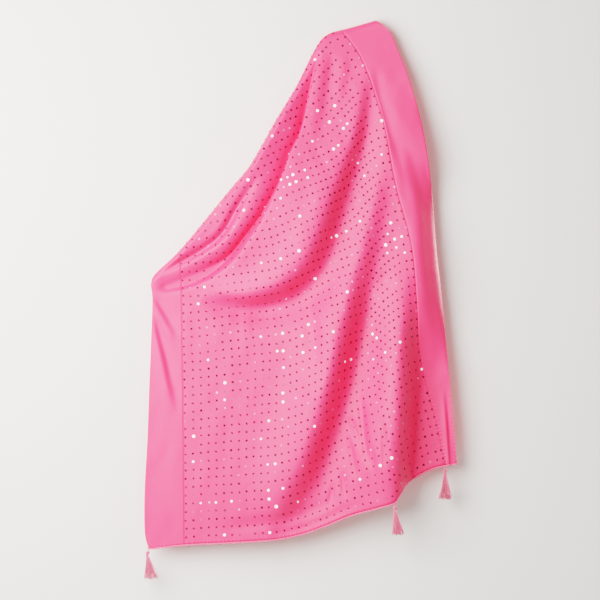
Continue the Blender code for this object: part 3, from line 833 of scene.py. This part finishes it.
deselectAll()
bpy.ops.mesh.primitive_torus_add(major_radius=(edging["hemRadius"] + edging["whipClear"]) * mm,
                                 minor_radius=edging["whipThick"] * mm, major_segments=8, minor_segments=4)
whipShape = takeShape(bpy.context.object)
bpy.ops.mesh.primitive_cube_add(size=1.0)
dash = bpy.context.object
bpy.ops.object.mode_set(mode="EDIT")
bpy.ops.mesh.select_all(action="SELECT")
stitchWide = edging["stitchThick"] * 2 * mm
bpy.ops.transform.resize(value=(edging["stitchLong"] * mm, stitchWide, stitchWide))
bpy.ops.mesh.bevel(offset=edging["stitchThick"] * 0.6 * mm, segments=1)
bpy.ops.object.mode_set(mode="OBJECT")
stitchShape = takeShape(dash)

hemCentre = {}
for side, front in (("Front", True), ("Back", False)):
    path, outward, normal = hemPath(front)
    hemCentre[side] = path
    count = np.arange(len(path))
    uneven = sum((size * np.sin(count * turn) for size, turn in edging["hemLumps"]), 1.0)
    radius = edging["hemRadius"] * uneven
    hem = addTube("hem" + side, path, normal, radius, radius, edging["hemSides"], hemCloth)
    finishPiece(hem, "hem_cloth", "hem_" + side.lower())
    where = evenly(path, edging["whipEvery"])
    heading = unit(pick(np.gradient(path, axis=0), where))
    up, out = unit(pick(outward, where)), unit(pick(normal, where))
    slant = math.radians(edging["whipSlant"])
    axis = unit(heading * math.cos(slant) + up * math.sin(slant))
    first = unit(np.cross(out, axis))
    turns = np.stack([first, np.cross(axis, first), axis], axis=-1)
    places, sizes = pick(path, where), np.ones(len(where))
    whip = copies("whipStitches" + side, whipShape, places, turns, sizes, stitchThread, smooth=True)
    finishPiece(whip, "hem_cloth")

for name, across, inward in (("seamLeft", seamLeft, 1.0), ("seamRight", seamRight, -1.0)):
    drop = float(dropAt(np.array(across)))
    steps = int(drop / edging["seamStep"])
    along = np.concatenate([
        np.linspace(hemShare, 1.0, steps), np.linspace(1.0, 2.0, edging["overSteps"])[1:-1],
        np.linspace(2.0, 3.0 - hemShare, steps),
    ])
    where = np.full_like(along, across)
    path, normal = hungPoint(where, along), hungNormal(where, along)
    high, wide = edging["seamHigh"], edging["seamWide"]
    seam = addTube(name, path, normal, high, wide, edging["seamSides"], borderCloth)
    finishPiece(seam, "border_cloth")
    where = np.full_like(along, across + inward * edging["stitchOffset"])
    path, normal = hungPoint(where, along), hungNormal(where, along)
    even = evenly(path, edging["stitchEvery"])
    heading, out = unit(pick(np.gradient(path, axis=0), even)), unit(pick(normal, even))
    turns = np.stack([heading, np.cross(out, heading), out], axis=-1)
    places, sizes = pick(path, even) + edging["stitchLift"] * out, np.ones(len(even))
    stitches = copies(name + "Stitches", stitchShape, places, turns, sizes, seamThread)
    finishPiece(stitches, "border_cloth")
print("hems rolled and seams sewn")


# sequins, in a grid along the grain
sequins = {
    "acrossEvery": 16.8,
    "alongEvery": 19.03,
    "firstAcross": 3.6,            # inside the seam
    "firstAlong": 19.0,            # above the hem
    "lastAcross": 3.0,
    "lastAlong": 14.0,
    "radius": 2.4,
    "rim": 0.45,                   # share of the radius that stays flat
    "dish": 0.14,                  # how deep the middle is pressed in
    "thick": 0.22,
    "tilt": 12.0,                  # most lean a little, in degrees
    "tiltShare": 0.8,
    "grain": (0.13, 0.0, 1.0),     # the way they are turned
    "span": 4.0,                   # how much cloth each side of one it lies along
    "raised": (0.25, 0.7),         # above the cloth, and for the painted glints
    "sizes": 0.06,                 # spread of their sizes
    "jitter": 0.5,
    "missing": 0.02,
    "shades": 0.05,
    "pale": 0.13,                  # share that are paler
    "paleShades": (0.15, 0.60),
    "paintedGlintShare": 0.025,                # share painted white as glints, a painted highlight, beyond the patches below
    "paintedGlintPatches": [                   # where more are painted white as glints: x, z, reach, share
        (-130, -335, 28, 0.50), (-119, -422, 18, 0.40), (-15, -444, 28, 0.45), (90, -458, 26, 0.50),
        (-26, -242, 48, 0.20), (31, -282, 22, 0.35), (-114, -649, 32, 0.36), (-176, -695, 28, 0.30),
        (-345, -693, 36, 0.22), (79, -704, 22, 0.40), (22, -766, 28, 0.30), (-198, -935, 44, 0.16),
        (-191, -1005, 46, 0.17), (-282, -1036, 20, 0.30), (-334, -880, 44, 0.15),
    ],
    "paintedGlintSize": 1.5,
    "seed": 11,
}


def sequinShape():
    deselectAll()
    bpy.ops.mesh.primitive_circle_add(vertices=10, radius=sequins["radius"] * mm, fill_type="NGON")
    piece = bpy.context.object
    bpy.ops.object.mode_set(mode="EDIT")
    bpy.ops.mesh.select_all(action="SELECT")
    bpy.ops.mesh.extrude_region_move(TRANSFORM_OT_translate={"value": (0.0, 0.0, sequins["thick"] * mm)})
    bpy.ops.mesh.inset(thickness=sequins["radius"] * sequins["rim"] * mm)
    bpy.ops.transform.translate(value=(0.0, 0.0, -sequins["dish"] * mm))
    bpy.ops.mesh.select_all(action="SELECT")
    bpy.ops.mesh.normals_make_consistent(inside=False)
    bpy.ops.object.mode_set(mode="OBJECT")
    return takeShape(piece)


def sequinPlaces(front):
    chance = np.random.default_rng(sequins["seed"] + (0 if front else 1))
    last = seamRight - sequins["lastAcross"]
    across, along = [], []
    for column in np.arange(seamLeft + sequins["firstAcross"], last, sequins["acrossEvery"]):
        drop = float(dropAt(np.array(column)))
        straight, around = drop - cloth["roll"], math.pi * cloth["roll"]
        end = straight * 2 + around - sequins["lastAlong"]
        run = np.arange(sequins["firstAlong"], end, sequins["alongEvery"])
        share = np.where(run < straight, run / straight, 1.0 + (run - straight) / around)
        share = np.where(run > straight + around, 2.0 + (run - straight - around) / straight, share)
        share = share[(share < 1.5) if front else (share >= 1.5)]
        across += [column] * len(share)
        along += share.tolist()
    across, along = np.array(across), np.array(along)
    keep = chance.random(len(across)) > sequins["missing"]
    across, along = across[keep], along[keep]
    across = across + chance.normal(0.0, sequins["jitter"], len(across))
    along = along + chance.normal(0.0, sequins["jitter"], len(along)) / dropAt(across)
    return across, along, chance


def addSequins(name, front, shape):
    across, along, chance = sequinPlaces(front)
    place, normal = hungPoint(across, along), hungNormal(across, along, sequins["span"])
    count = len(across)
    tilt = np.tan(np.radians(sequins["tilt"]))
    lean = normal + tilt * chance.normal(0.0, 1.0, (count, 3)) * sequins["tiltShare"]
    size = chance.normal(1.0, sequins["sizes"], count)
    shade = sequins["shades"] * chance.random(count)
    pale = chance.random(count) < sequins["pale"]
    shade[pale] = chance.uniform(*sequins["paleShades"], pale.sum())
    raised = np.full(count, sequins["raised"][0])
    # on the front, sequins in and around the patches are painted white and lie flat: painted glints
    if front:
        odds = np.full(count, sequins["paintedGlintShare"])
        for x, z, reach, share in sequins["paintedGlintPatches"]:
            odds += share * np.exp(-((place[:, 0] - x) ** 2 + (place[:, 2] - z) ** 2) / reach**2)
        paintedGlints = chance.random(count) < odds
        lean[paintedGlints] = normal[paintedGlints]
        size[paintedGlints] *= 1.0 + (sequins["paintedGlintSize"] - 1.0) * chance.random(paintedGlints.sum())
        shade[paintedGlints] = 1.0
        raised[paintedGlints] = sequins["raised"][1]
    out = unit(lean)
    first = unit(np.cross(np.array(sequins["grain"]), out))
    turns = np.stack([first, np.cross(out, first), out], axis=-1)
    piece = copies(name, shape, place + raised[:, None] * normal, turns, size, sequinMetal)
    attribute = piece.data.attributes.new("shade", "FLOAT", "POINT")
    attribute.data.foreach_set("value", np.repeat(shade, len(shape[0])).astype(np.float32))
    finishPiece(piece, "field_cloth")
    return piece


sequin = sequinShape()
sequinsFront = addSequins("sequinsFront", True, sequin)
sequinsBack = addSequins("sequinsBack", False, sequin)
print("sequins sewn:", (len(sequinsFront.data.vertices) + len(sequinsBack.data.vertices)) // len(sequin[0]))


# tassels: a twisted loop, a wound head and a skirt of threads
tassels = {                        # place along the hem and gap below it, sideways lean, and the skirt's size
    "tasselLeft": {
        "node": "tassel_left", "across": 2.0, "below": 0.6, "lean": -3.5, "sweep": 9.0, "drop": 49.0,
        "spread": 17.0,
    },
    "tasselMiddle": {
        "node": "tassel_middle", "across": 559.0, "below": 1.8, "lean": -1.0, "sweep": 7.0, "drop": 51.0,
        "spread": 14.5,
    },
    "tasselRight": {
        "node": "tassel_right", "across": 706.0, "below": 0.8, "lean": 0.5, "sweep": 1.0, "drop": 55.0,
        "spread": 15.5,
    },
}
tasselShape = {
    "firstSeed": 20,
    "leanOver": 15.2,              # the head's length, over which it leans
    "loopStart": -1.6,             # above the gap, behind the hem
    "loopEnd": 5.0,
    "loopSteps": 16,
    "loopTwist": 1.3,              # radians to a millimetre
    "loopApart": 0.55,
    "loopThread": 0.5,
    "windings": [                  # down from the hem, radius
        (4.6, 2.6), (5.6, 3.5), (6.7, 3.9), (7.8, 4.0), (8.9, 3.7), (9.9, 3.0), (11.0, 2.5), (12.0, 2.4),
        (13.0, 2.6),
    ],
    "windingThread": 0.55,
    "threads": 78,
    "threadRadius": 0.5,
    "skirtFrom": 12.4,
    "neck": 2.3,                   # radius of the skirt at its top
    "depth": 8.5,                  # and at its foot, front to back
    "flare": 1.25,
    "tuckedIn": 2.6,               # length of thread inside the head
    "uneven": 0.035,
    "wave": 0.5,
    "bow": 0.8,
    "goldenTurn": 2.39996,         # radians from one thread to the next, so that they fill a disk evenly
}


def tasselThreads(facts, root, chance):    # the skirt's threads, each as a path
    share = np.linspace(0.0, 1.0, 8)
    flare, neck = share ** tasselShape["flare"], tasselShape["neck"]
    for index in range(tasselShape["threads"]):
        radius = math.sqrt((index + 0.5) / tasselShape["threads"])
        angle = index * tasselShape["goldenTurn"]
        u, v = radius * math.cos(angle), radius * math.sin(angle)
        long = facts["drop"] * (1.0 + chance.normal(0.0, tasselShape["uneven"])) + tasselShape["tuckedIn"]
        wave = chance.normal(0.0, tasselShape["wave"], 2)
        bow = np.sin(math.pi * share) * chance.normal(0.0, tasselShape["bow"])
        x = root[0] + u * (neck + (facts["spread"] - neck) * flare) + facts["sweep"] * share
        y = root[1] + v * (neck + (tasselShape["depth"] - neck) * flare)
        x = x + wave[0] * np.sin(share * 9.0 + angle) * share + bow
        y = y + wave[1] * np.sin(share * 8.0 + 2 * angle) * share
        yield np.stack([x, y, root[2] - long * share], axis=-1)


def addTassel(name, seed):
    facts = tassels[name]
    path = hemCentre["Front"]
    across = np.linspace(0.0, cloth["width"], len(path))
    top = np.array([np.interp(facts["across"], across, column) for column in path.T])
    top[2] -= edging["hemRadius"] + facts["below"]
    leaning = facts["lean"] / tasselShape["leanOver"]
    points, faces = [], []

    def axisPoint(down):
        return top + np.array([leaning * down, 0.0, -down])

    def gather(path, outward, radius, sides):
        start = sum(len(part) for part in points)
        more = tubeMesh(path, np.tile(outward, (len(path), 1)), radius, radius, sides)
        points.append(more[0])
        faces.extend(tuple(start + index for index in face) for face in more[1])

    start = tasselShape["loopStart"] - facts["below"]
    for turn in (0.0, math.pi):    # the loop: two threads twisted round each other
        steps = np.linspace(start, tasselShape["loopEnd"], tasselShape["loopSteps"])
        twist = steps * tasselShape["loopTwist"] + turn
        loop = np.array([axisPoint(step) for step in steps])
        loop += tasselShape["loopApart"] * np.stack([np.cos(twist), np.sin(twist), 0 * twist], axis=-1)
        gather(loop, [0.0, -1.0, 0.2], tasselShape["loopThread"], 6)
    windings = tasselShape["windings"]
    core = np.array([axisPoint(down) for down, _ in windings])
    gather(core, [0.0, -1.0, 0.0], np.array([radius for _, radius in windings]), 12)
    around = np.linspace(0.0, 2 * math.pi, 19)
    for down, radius in windings:
        drop = 0.5 * around / math.pi - 0.5
        ring = axisPoint(down) + np.stack([radius * np.cos(around), radius * np.sin(around), drop], axis=-1)
        gather(ring, [0.0, 0.0, 1.0], tasselShape["windingThread"], 5)
    for thread in tasselThreads(facts, axisPoint(tasselShape["skirtFrom"]), np.random.default_rng(seed)):
        gather(thread, [0.0, -1.0, 0.1], tasselShape["threadRadius"], 3)
    finishPiece(addMesh(name, np.vstack(points) * mm, faces, tasselThread), "tassel_thread", facts["node"])


for step, name in enumerate(tassels):
    addTassel(name, tasselShape["firstSeed"] + step)
print("tassels tied")


# wall, floor, light and camera
studio = {                         # in metres
    "centre": (-0.1144, -0.594),   # x and z of the middle of the view
    "across": 1.32,                # how much it takes in
    "plane": -0.03,                # at this y
    "lens": 200.0,                 # millimetres, as is the sensor
    "sensor": 36.0,
    "stageSize": 12.0,
    "wallBehind": 0.0125,          # at the hold
    "wallLean": 0.026,             # and further away below it
    "floor": -1.75,
    "towardsLight": (-0.74, -1.0, 0.26),
    "lightAway": 1.8,
    "lightSize": 1.8,
    "lightPower": 106.0,
    "lightColour": (1.0, 0.985, 0.965),
    "towardsBackLight": (0.95, 1.0, 0.4),
    "backAway": 4.0,
    "backSize": 2.0,
    "backPower": 230.0,
    "backColour": (1.0, 0.98, 0.96),
    "world": 0.72,
    "worldColour": (1.0, 0.99, 0.975, 1.0),
}


def stageMaterial(name, colour, seenThrough):
    made = Shading(name, 0.85)
    deep = tuple(channel * 0.985 for channel in colour)
    made.put(made.shader, Base_Color=made.mix(made.noise(made.place["Object"], 3.0, 2.0), colour, deep))
    if seenThrough:                # clear from behind, so that the back of the cloth can be looked at
        behind = made.add("NewGeometry").outputs["Backfacing"]
        clear = made.add("BsdfTransparent").outputs["BSDF"]
        either = made.add("MixShader")
        for value, socket in zip((behind, made.shader.outputs["BSDF"], clear), either.inputs):
            made.join(value, socket)
        made.put(made.tree.nodes["Material Output"], Surface=either.outputs["Shader"])
    return made.material


deselectAll()
bpy.ops.mesh.primitive_plane_add(size=studio["stageSize"], location=(0.0, studio["wallBehind"], 0.0),
                                 rotation=(math.pi / 2 + studio["wallLean"], 0.0, 0.0))
wall = bpy.context.object
wall.name = "wall"
wall.data.materials.append(stageMaterial("wallPaint", finish["wallGrey"], True))
wall.visible_shadow = False
bpy.ops.mesh.primitive_plane_add(size=studio["stageSize"], location=(0.0, 0.0, studio["floor"]))
floor = bpy.context.object
floor.name = "floor"
floor.data.materials.append(stageMaterial("floorPaint", finish["floorGrey"], False))

middle = np.array([studio["centre"][0], 0.0, studio["centre"][1]])


def addLight(name, direction, away, size, power, colour):
    direction = unit(np.array(direction, float))
    data = bpy.data.lights.new(name, "AREA")
    data.shape = "DISK"
    data.size = size
    data.energy = power
    data.color = colour
    lamp = bpy.data.objects.new(name, data)
    lamp.location = middle + direction * away
    bpy.context.collection.objects.link(lamp)
    lamp.visible_camera = False
    lamp.rotation_euler = Vector(-direction).to_track_quat("-Z", "Y").to_euler()


addLight("keyLight", studio["towardsLight"], studio["lightAway"], studio["lightSize"], studio["lightPower"],
         studio["lightColour"])
addLight("backLight", studio["towardsBackLight"], studio["backAway"], studio["backSize"], studio["backPower"],
         studio["backColour"])

world = bpy.data.worlds.new("studio")
bpy.context.scene.world = world
world.use_nodes = True
background = world.node_tree.nodes["Background"]
background.inputs["Color"].default_value = studio["worldColour"]
background.inputs["Strength"].default_value = studio["world"]
bpy.context.scene.view_settings.view_transform = "Filmic"
bpy.context.scene.view_settings.look = "High Contrast"

cameraData = bpy.data.cameras.new("camera")
cameraData.lens = studio["lens"]
cameraData.sensor_width = studio["sensor"]
camera = bpy.data.objects.new("camera", cameraData)
bpy.context.collection.objects.link(camera)
away = studio["across"] * studio["lens"] / studio["sensor"]
camera.location = (studio["centre"][0], studio["plane"] - away, studio["centre"][1])
camera.rotation_euler = (math.pi / 2, 0.0, 0.0)
bpy.context.scene.camera = camera
print("camera", round(away, 2), "m away")
